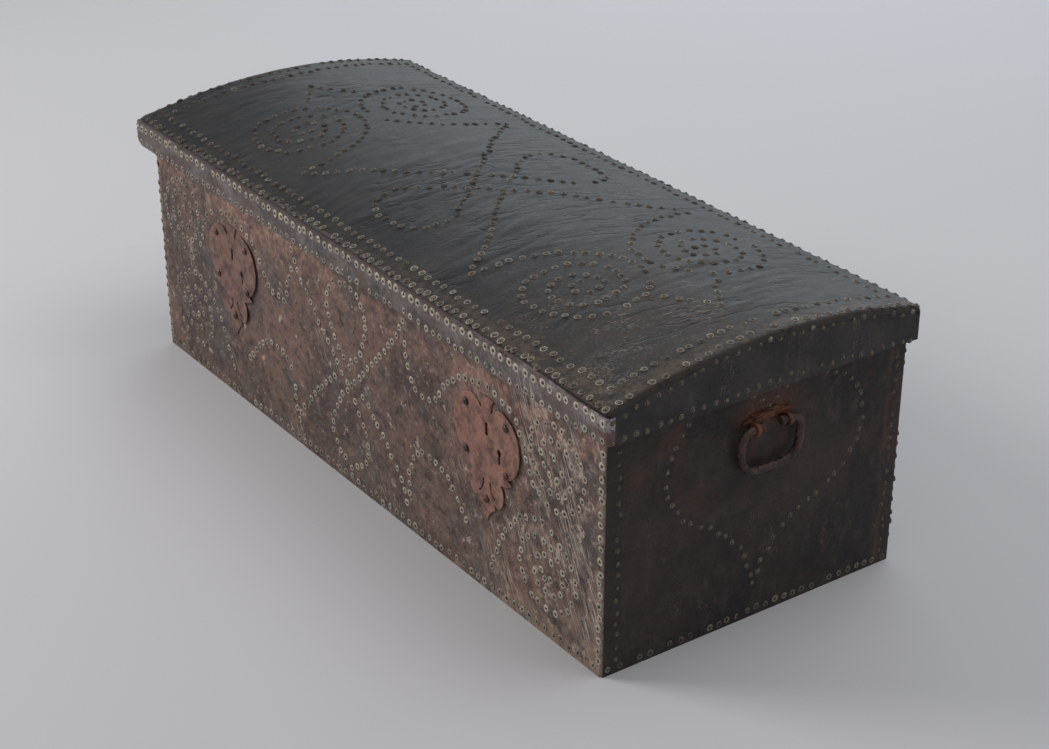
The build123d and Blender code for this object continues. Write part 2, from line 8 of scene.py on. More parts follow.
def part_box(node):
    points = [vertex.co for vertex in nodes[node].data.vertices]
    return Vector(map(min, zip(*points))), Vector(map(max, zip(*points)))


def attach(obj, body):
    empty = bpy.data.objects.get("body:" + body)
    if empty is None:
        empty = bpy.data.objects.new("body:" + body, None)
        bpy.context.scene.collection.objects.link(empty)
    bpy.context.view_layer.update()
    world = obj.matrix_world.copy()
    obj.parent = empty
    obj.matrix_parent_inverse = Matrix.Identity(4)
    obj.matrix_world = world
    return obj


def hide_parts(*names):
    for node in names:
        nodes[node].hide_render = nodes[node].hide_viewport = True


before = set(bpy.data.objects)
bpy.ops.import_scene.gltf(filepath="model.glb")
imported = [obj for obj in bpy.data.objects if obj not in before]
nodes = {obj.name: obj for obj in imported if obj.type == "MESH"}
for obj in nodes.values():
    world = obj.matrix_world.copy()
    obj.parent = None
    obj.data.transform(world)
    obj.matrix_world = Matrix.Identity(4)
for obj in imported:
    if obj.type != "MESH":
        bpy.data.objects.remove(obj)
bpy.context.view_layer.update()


# ---- Boards: the dovetailed carcass, its ship-lapped bottom and the frame and staves of the lid ----
# Dry softwood, sawn and hand planed, never varnished. It shows only when the lid is up,
# grey with dust on the faces and darker along the grain.
class Value:
    """A number that changes over a surface: a socket that takes part in arithmetic."""

    def __init__(self, tree, socket):
        self.tree = tree
        self.socket = socket

    def _step(self, operation, other, swapped=False):
        step = self.tree.nodes.new("ShaderNodeMath")
        step.operation = operation
        for socket, item in zip(step.inputs, (other, self) if swapped else (self, other)):
            if isinstance(item, Value):
                self.tree.links.new(item.socket, socket)
            else:
                socket.default_value = item
        return Value(self.tree, step.outputs[0])

    def __add__(self, other):
        return self._step("ADD", other)

    def __sub__(self, other):
        return self._step("SUBTRACT", other)

    def __rsub__(self, other):
        return self._step("SUBTRACT", other, swapped=True)

    def __mul__(self, other):
        return self._step("MULTIPLY", other)

    def __abs__(self):
        return self._step("ABSOLUTE", 0.0)

    __radd__ = __add__
    __rmul__ = __mul__


class Finish:
    """One material: its shader and the nodes that vary its colour, roughness and relief."""

    def __init__(self, name, **constants):
        self.material = bpy.data.materials.new(name)
        self.material.use_nodes = True
        self.tree = self.material.node_tree
        self.shader = self.tree.nodes["Principled BSDF"]
        for socket, value in constants.items():
            self.shader.inputs[socket.replace("_", " ")].default_value = value
        self.place = self.node("TexCoord", out="Object")
        axes = [self.node("SeparateXYZ", out=axis, inputs={0: self.place}) for axis in "XYZ"]
        self.x, self.y, self.z = axes

    def node(self, kind, settings=None, out=0, inputs=None):
        """Any node: its settings first, then the values or links of its sockets."""
        made = self.tree.nodes.new("ShaderNode" + kind)
        for name, value in (settings or {}).items():
            setattr(made, name, value)
        for key, value in (inputs or {}).items():
            self.feed(made.inputs[key], value)
        return Value(self.tree, made.outputs[out])

    def feed(self, socket, value):
        if isinstance(value, Value):
            self.tree.links.new(value.socket, socket)
        elif isinstance(value, tuple) and len(value) == 3 and socket.type == "RGBA":
            socket.default_value = (*value, 1.0)
        else:
            socket.default_value = value

    def noise(self, size, detail, rough=0.55, stretch=(1, 1, 1), turn=(0, 0, 0), shift=0.0):
        """Cloudy variation of about the given size in metres, drawn out by stretch along turned axes."""
        placed = self.node("Mapping", {"vector_type": "TEXTURE"}, inputs={
            "Vector": self.place, "Rotation": turn, "Scale": tuple(size * s for s in stretch),
            "Location": (shift, 0.7 * shift, 0.3 * shift)})
        return self.node("TexNoise", inputs={
            "Vector": placed, "Scale": 1.0, "Detail": detail, "Roughness": rough})

    def cells(self, size):
        """The distance to the nearest edge between cells of about the given size, in cell widths."""
        placed = self.node("Mapping", {"vector_type": "TEXTURE"}, inputs={
            "Vector": self.place, "Scale": (size, size, size)})
        return self.node("TexVoronoi", {"feature": "DISTANCE_TO_EDGE"}, inputs={
            "Vector": placed, "Scale": 1.0})

    def folds(self, size, stretch=(1, 1, 1), turn=(0, 0, 0), shift=0.0):
        """Rounded swellings with sharp valleys between them, 0 in a valley and about 1 on a swelling."""
        return abs(self.noise(size, 2.0, 0.5, stretch, turn, shift) - 0.5) * 4.0

    def rise(self, value, low, high):
        """0 below low and 1 above high, smoothly between; a falling step if low is above high."""
        settings = {"interpolation_type": "SMOOTHSTEP"}
        if low < high:
            return self.node("MapRange", settings, inputs={"Value": value, "From Min": low, "From Max": high})
        return 1.0 - self.rise(value, high, low)

    def mix(self, share, first, second):
        """The first colour where share is 0 and the second where it is 1."""
        return self.node("Mix", {"data_type": "RGBA"}, out=2, inputs={0: share, 6: first, 7: second})

    def relief(self, height):
        """Feeds the normal with a height in millimetres."""
        bump = self.node("Bump", inputs={"Height": height, "Distance": 0.001})
        self.feed(self.shader.inputs["Normal"], bump)

    def finish(self, colour, rough):
        self.feed(self.shader.inputs["Base Color"], colour)
        self.feed(self.shader.inputs["Roughness"], rough)
        return self.material


def wood_finish(name, turn):
    """Grain along X, or along Y where turn is a quarter turn."""
    f = Finish(name, Specular_IOR_Level=0.3)
    grain = f.noise(0.006, 5.0, 0.6, (60, 1, 1), turn)
    broad = f.noise(0.05, 3.0, 0.5, (12, 1, 1), turn, 3.0)
    dust = f.noise(0.11, 4.0, 0.6, shift=7.0)
    colour = f.mix(f.rise(grain, 0.35, 0.7), (0.17, 0.105, 0.062), (0.33, 0.225, 0.14))
    colour = f.mix(f.rise(broad, 0.4, 0.65) * 0.5, colour, (0.12, 0.075, 0.047))
    colour = f.mix(f.rise(dust, 0.45, 0.75) * 0.45, colour, (0.34, 0.29, 0.24))
    f.relief(grain * 0.5 + broad * 0.3)
    return f.finish(colour, 0.72 + 0.16 * grain)


def dress(names, material):
    for name in names:
        mesh = nodes[name].data
        mesh.materials.clear()
        mesh.materials.append(material)


long_grain = wood_finish("softwood_long", (0, 0, 0))
cross_grain = wood_finish("softwood_cross", (0, 0, math.pi / 2))
end_timber = [n for n in nodes if n.endswith("end_board") or n in ("lid_left_lip", "lid_right_lip")]
long_timber = [n for n in nodes if n.startswith(("bottom_board", "lid_stave")) or n in (
    "front_board", "back_board", "lid_front_rail", "lid_back_rail", "lid_front_lip")]
dress(end_timber, cross_grain)
dress(long_timber, long_grain)


# ---- Body hides: front and back hides that turn the corners, and end hides that butt between them ----
# Vegetable-tanned ox hide, nailed wet over the boards. The front one has gone grey-brown with
# rust-red clouds, slanting scratches and dust at the foot; the ends stayed near black.
HIDE_LOW, HIDE_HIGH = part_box("front_hide")
END_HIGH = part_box("right_end_hide")[1]
BAIL_Y = 0.006  # middle of each bail, of its rust stain and of the powder under it


def pores(f):
    """The fine pebbled grain of the hair side, as a height."""
    return f.rise(f.cells(0.0022), 0.0, 0.35) * 0.10 + f.noise(0.0012, 2.0) * 0.12


def scratches(f, turn, length, width, shift, share, cover):
    """Fine lines along one turned axis, in loose groups: a larger share or smaller cover draws more."""
    lines = f.noise(1.0, 1.0, 0.5, (length, width, width), turn, shift)
    groups = f.noise(0.05, 3.0, 0.6, (2.0, 1, 1), turn, shift + 5.0)
    return f.rise(lines, 0.75 - share, 0.80 - share) * f.rise(groups, cover, cover + 0.12)


def front_hide_finish():
    """Rust-red clouds on grey-brown, scratched and rubbed pale to the right; dark where it is wrapped."""
    f = Finish("hide_front", Specular_IOR_Level=0.4)
    slant = (0, math.radians(38), 0)
    steep = (0, math.radians(62), 0)
    clouds = f.noise(0.15, 6.0, 0.65)
    grey = f.noise(0.085, 6.0, 0.70, shift=4.0)
    mottle = f.noise(0.018, 6.0, 0.74, shift=2.0)
    grain = f.noise(0.0040, 5.0, 0.7, (1.6, 1, 1), steep, 3.0)
    folds = f.folds(0.045, (1.8, 1, 1), steep, 6.0)
    right = f.rise(f.x, 0.20, 0.46)
    colour = f.mix(f.rise(clouds, 0.40, 0.60), (0.072, 0.047, 0.041), (0.180, 0.102, 0.077))
    colour = f.mix(f.rise(grey + right * 0.03, 0.48, 0.62) * 0.85, colour, (0.088, 0.074, 0.072))
    colour = f.mix(f.rise(mottle, 0.52, 0.62) * 0.8, colour, (0.038, 0.027, 0.024))
    buff = f.mix(right, (0.250, 0.168, 0.135), (0.35, 0.246, 0.198))
    colour = f.mix(f.rise(mottle, 0.47, 0.36) * 0.8, colour, buff)
    upper = f.rise(f.z, 0.23, 0.32) * f.rise(f.noise(0.06, 6.0, 0.68, (1.6, 1, 1), shift=9.0), 0.42, 0.56)
    red = f.mix(f.rise(mottle, 0.42, 0.56), (0.345, 0.190, 0.135), (0.190, 0.098, 0.074))
    colour = f.mix(upper * (0.35 + 0.5 * f.rise(f.x, -0.52, -0.36)), colour, red)
    colour = f.mix(f.rise(grain, 0.52, 0.68) * 0.5, colour, (0.036, 0.026, 0.023))
    colour = f.mix(f.rise(grain, 0.47, 0.32) * 0.4, colour, (0.27, 0.21, 0.18))
    # Painted shade: the valleys of the folds are darkened as if in shadow.
    colour = f.mix(f.rise(folds, 0.06, 0.0) * 0.35, colour, (0.036, 0.023, 0.020))
    few = scratches(f, steep, 0.026, 0.0010, 8.0, 0.150, 0.56)
    many = scratches(f, (0, math.radians(66), 0), 0.034, 0.0011, 14.0, 0.180, 0.42) * right
    colour = f.mix(f.rise(few + many, 0.0, 1.0) * 0.85, colour, (0.54, 0.44, 0.37))
    rubbed = f.rise(f.noise(0.030, 6.0, 0.76, shift=12.0) + right * 0.045, 0.59, 0.65)
    colour = f.mix(rubbed * 0.8, colour, (0.50, 0.38, 0.30))
    dusty = f.rise(f.z, 0.12, 0.0) * f.rise(f.noise(0.030, 6.0, 0.74, (1.6, 1, 1), slant, 1.0), 0.42, 0.58)
    colour = f.mix(dusty * (0.25 + 0.6 * right), colour, (0.270, 0.180, 0.125))
    corner = f.rise(abs(f.x), HIDE_HIGH.x - 0.019, HIDE_HIGH.x - 0.001)
    corner = corner * f.rise(f.y, HIDE_LOW.y + 0.004, HIDE_LOW.y + 0.001)
    chafed = corner * f.rise(f.noise(0.012, 5.0, 0.65), 0.38, 0.58)
    colour = f.mix(chafed * 0.6, colour, (0.34, 0.25, 0.21))
    wrapped = f.rise(f.y, HIDE_LOW.y + 0.0015, HIDE_LOW.y + 0.0035)
    side = f.mix(f.rise(clouds, 0.4, 0.65), (0.020, 0.015, 0.013), (0.038, 0.026, 0.021))
    side = f.mix(f.rise(mottle, 0.5, 0.7) * 0.6, side, (0.055, 0.038, 0.029))
    colour = f.mix(wrapped, colour, side)
    f.relief(folds * 0.5 + mottle * 1.4 + grain * 0.6 + pores(f))
    return f.finish(colour, 0.44 + 0.3 * grain + 0.1 * dusty)


def end_hide_finish():
    """Near black, with a rust stain round the bail and orange powder where it hangs."""
    f = Finish("hide_ends", Specular_IOR_Level=0.4)
    clouds = f.noise(0.12, 6.0, 0.65)
    mottle = f.noise(0.018, 6.0, 0.7, (1, 1, 1.8), shift=3.0)
    grain = f.noise(0.0045, 5.0, 0.7, shift=5.0)
    folds = f.folds(0.034, (1, 1, 1.7), (math.radians(20), 0, 0), 6.0)
    colour = f.mix(f.rise(clouds, 0.38, 0.62), (0.020, 0.016, 0.014), (0.045, 0.030, 0.023))
    colour = f.mix(f.rise(mottle, 0.50, 0.68) * 0.6, colour, (0.078, 0.054, 0.040))
    colour = f.mix(f.rise(grain, 0.52, 0.68) * 0.6, colour, (0.010, 0.008, 0.008))
    colour = f.mix(f.rise(mottle, 0.44, 0.30) * 0.5, colour, (0.012, 0.011, 0.010))
    red = f.rise(f.noise(0.05, 5.0, 0.65, shift=6.0), 0.50, 0.64) * f.rise(f.z, 0.10, 0.3)
    colour = f.mix(red * 0.6, colour, (0.090, 0.037, 0.026))
    across, up = (f.y - BAIL_Y) * 15.0, (f.z - 0.302) * 26.0
    stain = f.rise(across * across + up * up + f.noise(0.02, 5.0, 0.65) * 1.4, 1.9, 0.7)
    colour = f.mix(stain * 0.8 * f.rise(mottle, 0.62, 0.42), colour, (0.092, 0.038, 0.025))
    across, up = (f.y - BAIL_Y) * 19.0, (f.z - 0.2890) * 60.0
    powder = f.rise(across * across + up * up + f.noise(0.007, 6.0, 0.75) * 2.2, 2.1, 0.8)
    orange = f.mix(f.rise(grain, 0.4, 0.6), (0.250, 0.078, 0.030), (0.070, 0.026, 0.016))
    colour = f.mix(powder * 0.9, colour, orange)
    seam = f.rise(abs(f.y - (END_HIGH.y + 0.0015)), 0.007, 0.001)
    seam = seam * f.rise(f.noise(0.010, 5.0, 0.65, (1, 1, 4)), 0.38, 0.60)
    colour = f.mix(seam * 0.5, colour, (0.105, 0.046, 0.032))
    pale = scratches(f, (0, math.radians(-78), 0), 0.026, 0.0010, 2.0, 0.15, 0.58)
    colour = f.mix(pale * 0.5, colour, (0.30, 0.20, 0.14))
    f.relief(folds * 1.0 + mottle * 0.8 + grain * 0.4 + pores(f))
    return f.finish(colour, 0.44 + 0.3 * grain)


end_dark = end_hide_finish()
dress(["front_hide"], front_hide_finish())
dress(["back_hide", "left_end_hide", "right_end_hide"], end_dark)


# ---- Lid hides: one sheet over the arch and its noses, and narrow bands round the lips ----
# The top sheet is black hide with a waxy sheen, drawn from back to front while wet, which
# left long soft creases across it. The front band has dried grey, with a rubbed white edge.
TOP_LOW, TOP_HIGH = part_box("lid_top_hide")
BAND_LOW, BAND_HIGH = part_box("lid_front_hide")
NOSE = 0.012  # radius of the lid's front and back edges
FOLD = 0.0045  # radius of the fold down over each end
SPRUNG = 0.040  # how far the front left corner stands out
CORNER_X, CORNER_Y = TOP_LOW.x - 0.001, TOP_LOW.y  # where the spring is measured from
LAP = 0.0015  # how far the top sheet reaches down over the bands


def held(value, low=0.0, high=1.0):
    """The value, kept between low and high."""
    return min(high, max(low, value))


def creases(point):
    """Height of the drawn creases at a point of the lid: narrow along X, long across, a little bent."""
    bend = 0.016 * noise.noise(Vector((4.0 * point.x, 5.0 * point.y, 0.0)))
    along = point.x + bend + 0.16 * point.y
    broad = abs(noise.noise(Vector((along / 0.024, point.y / 0.11, 0.0))))
    fine = abs(noise.noise(Vector((along / 0.011, point.y / 0.055, 4.0))))
    patch = noise.noise(Vector((6.0 * point.x, 4.5 * point.y, 8.0)))
    gathered = held(0.4 + 2.4 * patch)
    return (0.0007 + 0.0021 * gathered) * broad + 0.0004 * gathered * fine


def sprung(place):
    """Where the dried hide has sprung to at the lid's front left corner: out, and rounded over."""
    along, back = max(0.0, place.x - CORNER_X), max(0.0, place.y - CORNER_Y)
    near = max(0.0, 1 - along / 0.075) * max(0.0, 1 - back / 0.065)
    turned = max(0.0, 1 - along / 0.022) * max(0.0, 1 - back / 0.030)
    low = max(0.12, 1 - ((place.z - 0.350) / 0.036) ** 2)
    return Vector((-SPRUNG * low * near ** 1.3, 0.012 * turned ** 2, -0.004 * turned ** 2))


def inland_y(place):
    """How far a point of the lid lies from the nearer of its front and back faces."""
    return min(place.y - TOP_LOW.y, TOP_HIGH.y - place.y)


def lid_profile(step=0.006):
    """The top hide's outer profile from its front edge over both noses, found by probing the CAD hide."""
    hide = nodes["lid_top_hide"]
    line = [Vector((0, TOP_LOW.y, TOP_LOW.z - LAP))]
    turns = [math.radians(12 * k) for k in range(7)]
    start, stop = TOP_LOW.y + NOSE - 0.0015, TOP_HIGH.y - NOSE + 0.0015
    count = round((stop - start) / step)
    rays = [(TOP_LOW.y + NOSE, -math.cos(a), math.sin(a)) for a in turns]
    rays += [(start + (stop - start) * k / count, 0.0, 1.0) for k in range(1, count)]
    rays += [(TOP_HIGH.y - NOSE, math.cos(a), math.sin(a)) for a in reversed(turns)]
    for y, out_y, out_z in rays:
        way = Vector((0, out_y, out_z))
        found, place, normal, face = hide.ray_cast(Vector((0, y, TOP_LOW.z + 0.0008)) + 0.1 * way, -way)
        line.append(place)
    return line + [Vector((0, TOP_HIGH.y, TOP_LOW.z - LAP))]


def lid_sheet(step=0.003, flap=0.004, thickness=0.0012):
    """The top sheet: its profile swept along the lid, folded down over both ends, then creased."""
    profile = lid_profile()
    edge = TOP_HIGH.x - FOLD + 0.001
    quarter = FOLD * math.pi / 2
    side = [edge + quarter * k / 5 for k in range(6)] + [edge + quarter + flap * k / 4 for k in range(1, 5)]
    count = round(edge / step)
    stations = [edge * k / count for k in range(-count, count)] + side
    stations = [-x for x in reversed(side)] + stations[1:]
    bm = bmesh.new()
    verts = [bm.verts.new((stations[0], p.y, p.z)) for p in profile]
    edges = [bm.edges.new(pair) for pair in zip(verts, verts[1:])]
    for before, after in zip(stations, stations[1:]):
        made = bmesh.ops.extrude_edge_only(bm, edges=edges)["geom"]
        edges = [g for g in made if isinstance(g, bmesh.types.BMEdge)]
        verts = [g for g in made if isinstance(g, bmesh.types.BMVert)]
        bmesh.ops.translate(bm, vec=(after - before, 0, 0), verts=verts)
    bmesh.ops.recalc_face_normals(bm, faces=bm.faces)
    bm.normal_update()
    if sum(face.normal.z for face in bm.faces) < 0:
        bmesh.ops.reverse_faces(bm, faces=bm.faces)
        bm.normal_update()
    for vert in bm.verts:
        place, out = vert.co.copy(), vert.normal.copy()
        inland = min(edge - abs(place.x), inland_y(place))
        lift = creases(place) * held((inland + 0.002) / 0.03)
        past = abs(place.x) - edge
        if past > 0:
            angle = min(past / FOLD, math.pi / 2)
            down = FOLD * (1 - math.cos(angle))
            if past > quarter:
                steep = held((inland_y(place) - 0.002) / 0.012)
                ragged = 1 + 0.15 * noise.noise(Vector((place.y / 0.012, place.x, 3.0)))
                down += (past - quarter) * ragged * (0.3 + 0.7 * steep)
            place.x = math.copysign(edge + FOLD * math.sin(angle), place.x)
            place -= out * down
            lift = 0.0003 * noise.noise(Vector((place.y / 0.02, place.z / 0.02, 5.0)))
            out = Vector((math.copysign(math.sin(angle), place.x), 0, 0)) + out * math.cos(angle)
        vert.co = place + out * lift + sprung(place)
    bmesh.ops.solidify(bm, geom=bm.faces[:], thickness=thickness)
    bmesh.ops.recalc_face_normals(bm, faces=bm.faces)
    return bm


def piece(name, bm, material, body, slot, *stands_for):
    """A finished piece from its mesh, riding on a body."""
    mesh = bpy.data.meshes.new(name)
    bm.to_mesh(mesh)
    bm.free()
    made = bpy.data.objects.new(name, mesh)
    bpy.context.scene.collection.objects.link(made)
    mesh.materials.append(material)
    mesh.shade_smooth()
    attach(made, body)
    if stands_for:
        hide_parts(*stands_for)
    return made


def merged(node):
    """A copy of a CAD piece's mesh with its corners joined."""
    bm = bmesh.new()
    bm.from_mesh(nodes[node].data)
    bmesh.ops.remove_doubles(bm, verts=bm.verts, dist=1e-6)
    return bm


def sprung_band(node, axis, offset=0.0):
    """A band round the lid from its CAD piece, cut finely where the corner has sprung and bent there."""
    bm = merged(node)
    bmesh.ops.dissolve_limit(bm, angle_limit=math.radians(1), verts=bm.verts, edges=bm.edges)
    corners = [e for e in bm.edges if offset and abs(e.verts[0].co.z - e.verts[1].co.z) > 0.02 and all(
        abs(v.co.x) > TOP_HIGH.x - 0.0001 and v.co.y < TOP_LOW.y + 0.0001 for v in e.verts)]
    if corners:
        bmesh.ops.bevel(bm, geom=corners, offset=offset, segments=5, profile=0.5, affect="EDGES", material=-1)
    if axis == 0:
        cuts = [((CORNER_X + 0.006 * k, 0, 0), (1, 0, 0)) for k in range(1, 14)]
    else:
        cuts = [((0, CORNER_Y + 0.006 * k, 0), (0, 1, 0)) for k in range(1, 14)]
    cuts += [((0, 0, BAND_LOW.z + 0.010 * k), (0, 0, 1)) for k in range(1, 5)]
    for place, way in cuts:
        bmesh.ops.bisect_plane(bm, geom=bm.verts[:] + bm.edges[:] + bm.faces[:], plane_co=place, plane_no=way)
    for vert in bm.verts:
        vert.co += sprung(vert.co)
    return bm


def band_colour(f):
    """Grey hide with mauve and brown in it, its upper edge rubbed pale and its right corner rusty."""
    clouds = f.noise(0.035, 6.0, 0.7, (2.0, 1, 1))
    drips = f.noise(0.0045, 5.0, 0.7, (1, 1, 4), shift=4.0)
    mottle = f.noise(0.007, 6.0, 0.74, shift=8.0)
    up, right = f.z - BAND_LOW.z, f.rise(f.x, 0.20, 0.52)
    colour = f.mix(f.rise(clouds + right * 0.07, 0.42, 0.62), (0.064, 0.053, 0.054), (0.146, 0.119, 0.115))
    colour = f.mix(f.rise(mottle, 0.51, 0.64) * 0.7, colour, (0.028, 0.021, 0.020))
    colour = f.mix(f.rise(drips, 0.53, 0.70) * 0.5, colour, (0.27, 0.235, 0.225))
    edge = f.rise(up, 0.012, 0.032) * f.rise(f.noise(0.010, 6.0, 0.74, (3, 1, 1)), 0.44, 0.60)
    colour = f.mix(edge * (right * 0.5 + 0.3), colour, (0.36, 0.305, 0.295))
    rubs = scratches(f, (0, math.radians(72), 0), 0.016, 0.0009, 20.0, 0.165, 0.44)
    colour = f.mix(rubs * (right * 0.6 + 0.2), colour, (0.58, 0.50, 0.44))
    brown = f.rise(f.noise(0.03, 5.0, 0.65, (2, 1, 1), shift=11.0), 0.50, 0.62)
    colour = f.mix(brown * 0.55, colour, (0.110, 0.062, 0.050))
    colour = f.mix(f.rise(up, 0.0330, 0.0415) * (0.85 - 0.7 * right), colour, (0.056, 0.029, 0.024))
    chafed = f.rise(f.x, 0.535, 0.588) * f.rise(up, 0.014, 0.022) * f.rise(mottle, 0.58, 0.44)
    colour = f.mix(chafed * 0.85, colour, (0.40, 0.355, 0.370))
    rust = f.rise(f.x, 0.550, 0.585) * f.rise(up + f.noise(0.006, 4.0) * 0.012, 0.026, 0.018)
    colour = f.mix(rust * f.rise(mottle, 0.60, 0.50) * 0.6, colour, (0.20, 0.085, 0.062))
    return colour, clouds * 0.8 + drips * 0.4 + mottle * 0.9


def lid_hide_finish():
    """Waxy black with painted shade in its creases, scratched toward the front right corner, its rim gone
    brown.
    """
    f = Finish("hide_lid_top", Specular_IOR_Level=0.28)
    across = (0, 0, math.radians(-12))
    clouds = f.noise(0.16, 6.0, 0.65)
    mottle = f.noise(0.020, 5.0, 0.62, (1, 1.5, 1), across, 7.0)
    grain = f.noise(0.0042, 4.0, 0.62, shift=2.0)
    folds = f.folds(0.024, (1, 4.5, 1), across, 9.0)
    fine = f.folds(0.016, (1, 5, 1), (0, 0, math.radians(-22)), 5.0)
    gathered = f.rise(f.noise(0.09, 4.0, 0.6, (1, 2, 1), across, 6.0), 0.46, 0.62)
    colour = f.mix(f.rise(clouds, 0.38, 0.62), (0.014, 0.014, 0.0145), (0.025, 0.022, 0.020))
    colour = f.mix(f.rise(mottle, 0.50, 0.68) * 0.6, colour, (0.040, 0.035, 0.031))
    colour = f.mix(f.rise(grain, 0.52, 0.68) * 0.5, colour, (0.008, 0.008, 0.008))
    worn = f.rise(f.x, 0.16, 0.48) * f.rise(f.y, 0.10, -0.10)
    scuffed = worn * f.rise(f.noise(0.026, 6.0, 0.74, (1, 2, 1), across), 0.40, 0.58)
    colour = f.mix(scuffed * 0.7, colour, (0.047, 0.034, 0.025))
    colour = f.mix(worn * f.rise(grain, 0.45, 0.30) * 0.35, colour, (0.130, 0.097, 0.071))
    rim = f.rise(f.x, 0.545, 0.590) + f.rise(f.y, -0.205, -0.248) * f.rise(f.x, -0.25, 0.35)
    browned = f.rise(rim, 0.0, 1.0) * f.rise(f.noise(0.014, 6.0, 0.72), 0.42, 0.58)
    colour = f.mix(browned * 0.7, colour, (0.088, 0.060, 0.042))
    # Painted shade: the crease valleys are darkened as if in shadow; the same mask also deepens them in the
    # relief.
    crease_shade_and_depth = f.rise(folds, 0.13, 0.0) * (gathered * 0.9 + 0.1) + f.rise(fine, 0.11, 0.0) * gathered * 0.25
    colour = f.mix(f.rise(crease_shade_and_depth, 0.0, 1.2) * 0.7, colour, (0.004, 0.004, 0.004))
    pale = scratches(f, (0, 0, math.radians(78)), 0.022, 0.0010, 3.0, 0.155, 0.50)
    colour = f.mix(pale * (0.12 + 0.62 * worn), colour, (0.27, 0.220, 0.175))
    # The front band runs up over the nose here, to a seam drawn tight, whose thin dark line is painted shadow
    # of the step where the band meets the top sheet.
    up = f.z - TOP_LOW.z + f.noise(0.014, 3.0, 0.6, (2, 1, 1)) * 0.0014 - f.rise(f.x, 0.57, 0.43) * 0.0048
    front = f.rise(f.y, TOP_LOW.y + 0.016, TOP_LOW.y + NOSE)
    colour = f.mix(front * f.rise(up, 0.0090, 0.0045) * 0.8, colour, (0.034, 0.021, 0.016))
    colour = f.mix(front * f.rise(up, 0.0022, 0.0014), colour, band_colour(f)[0])
    # Painted shadow: a near-black line along the seam.
    seam = front * f.rise(up, 0.0008, 0.0018) * f.rise(up, 0.0050, 0.0040)
    colour = f.mix(seam, colour, (0.010, 0.005, 0.004))
    ends = f.rise(abs(f.x), TOP_HIGH.x - 0.0018, TOP_HIGH.x - 0.0008)
    colour = f.mix(ends * f.rise(mottle, 0.35, 0.55), colour, (0.048, 0.040, 0.036))
    valleys = f.rise(crease_shade_and_depth, 0.0, 1.0)
    f.relief(folds * gathered * 0.8 + mottle * 0.3 + grain * 0.25 + pores(f) - valleys * 0.7)
    return f.finish(colour, 0.36 + 0.26 * grain + 0.15 * scuffed)


def band_finish():
    """The front band, with a painted shadow line where the top sheet meets it at the right."""
    f = Finish("hide_front_band", Specular_IOR_Level=0.45)
    colour, height = band_colour(f)
    # Painted shadow: a dark line along the band's top edge at the right, where the top sheet steps down onto
    # it.
    seam = f.rise(f.z, BAND_HIGH.z - 0.0012, BAND_HIGH.z) * f.rise(f.x, 0.50, 0.55)
    f.relief(height + pores(f))
    return f.finish(f.mix(seam, colour, (0.022, 0.010, 0.008)), 0.46 + 0.3 * f.noise(0.006, 5.0, 0.7))


def end_band_finish():
    """The end and back bands: near black, with brown streaks running down."""
    f = Finish("hide_end_bands", Specular_IOR_Level=0.45)
    clouds = f.noise(0.06, 6.0, 0.65)
    drips = f.noise(0.010, 6.0, 0.7, (1, 1, 3.5), shift=4.0)
    grain = f.noise(0.004, 5.0, 0.7, shift=2.0)
    colour = f.mix(f.rise(clouds, 0.38, 0.62), (0.019, 0.018, 0.018), (0.040, 0.033, 0.030))
    colour = f.mix(f.rise(drips, 0.53, 0.70) * 0.6, colour, (0.088, 0.070, 0.043))
    colour = f.mix(f.rise(grain, 0.52, 0.68) * 0.6, colour, (0.012, 0.010, 0.010))
    pale = scratches(f, (0, math.radians(-70), 0), 0.028, 0.0010, 2.0, 0.15, 0.56)
    colour = f.mix(pale * 0.6, colour, (0.33, 0.20, 0.13))
    f.relief(clouds * 0.5 + drips * 0.8 + grain * 0.4 + pores(f))
    return f.finish(colour, 0.42 + 0.28 * grain)


lid_dark = end_band_finish()
piece("lid_top_leather", lid_sheet(), lid_hide_finish(), "lid", "hide_black", "lid_top_hide")
front_leather = piece("lid_front_leather", sprung_band("lid_front_hide", 0, 0.0055), band_finish(), "lid",
                      "hide_grey", "lid_front_hide")
left_leather = piece("lid_left_leather", sprung_band("lid_left_hide", 1), lid_dark, "lid",
                     "hide_black", "lid_left_hide")
for made in (front_leather, left_leather):
    made.data.shade_flat()
dress(["lid_right_hide", "lid_back_hide"], lid_dark)


# ---- Nails of the ornament: rows along every edge, scrolls on the lid and front, a heart on the ends ----
# Small domed brass nails, each sunk in a dimple whose rim has worn pale. They are driven by hand,
# so their spacing wanders, some lean and a few are lost.
chance = random.Random(19)
PITCH = 0.0168  # usual way from nail to nail
LOST = 0.03  # share of the nails that have dropped out
EDGE = 0.006  # from a face's side edge to its row of nails
ROW_FOOT, ROW_TOP = 0.020, HIDE_HIGH.z - 0.013  # where an upright row starts and stops
FOOT_END = HIDE_HIGH.x - 0.015  # where the row along the foot stops


def nail_shape(outline, steps=9):
    """A nail turned round +Z from pairs of radius and height in millimetres, each with its zone:
    0 for the head, 0.5 for the dish round it and 1 for the rim."""
    bm = bmesh.new()
    ring = [bm.verts.new((0.001 * r, 0, 0.001 * z)) for r, z, zone in outline]
    edges = [bm.edges.new(pair) for pair in zip(ring, ring[1:])]
    bmesh.ops.spin(bm, geom=ring + edges, axis=(0, 0, 1), angle=math.tau, steps=steps, use_merge=True)
    bmesh.ops.remove_doubles(bm, verts=bm.verts, dist=1e-5)
    bmesh.ops.holes_fill(bm, edges=[e for e in bm.edges if e.is_boundary])
    bmesh.ops.recalc_face_normals(bm, faces=bm.faces)
    mesh = bpy.data.meshes.new("nail_shape")
    bm.to_mesh(mesh)
    bm.free()
    zones = mesh.attributes.new("zone", "FLOAT", "POINT")
    mesh.attributes.new("tone", "FLOAT", "POINT")
    for vert, zone in zip(mesh.vertices, zones.data):
        radius = 1000 * math.hypot(vert.co.x, vert.co.y)
        zone.value = min(outline, key=lambda row: abs(row[0] - radius))[2]
    return mesh


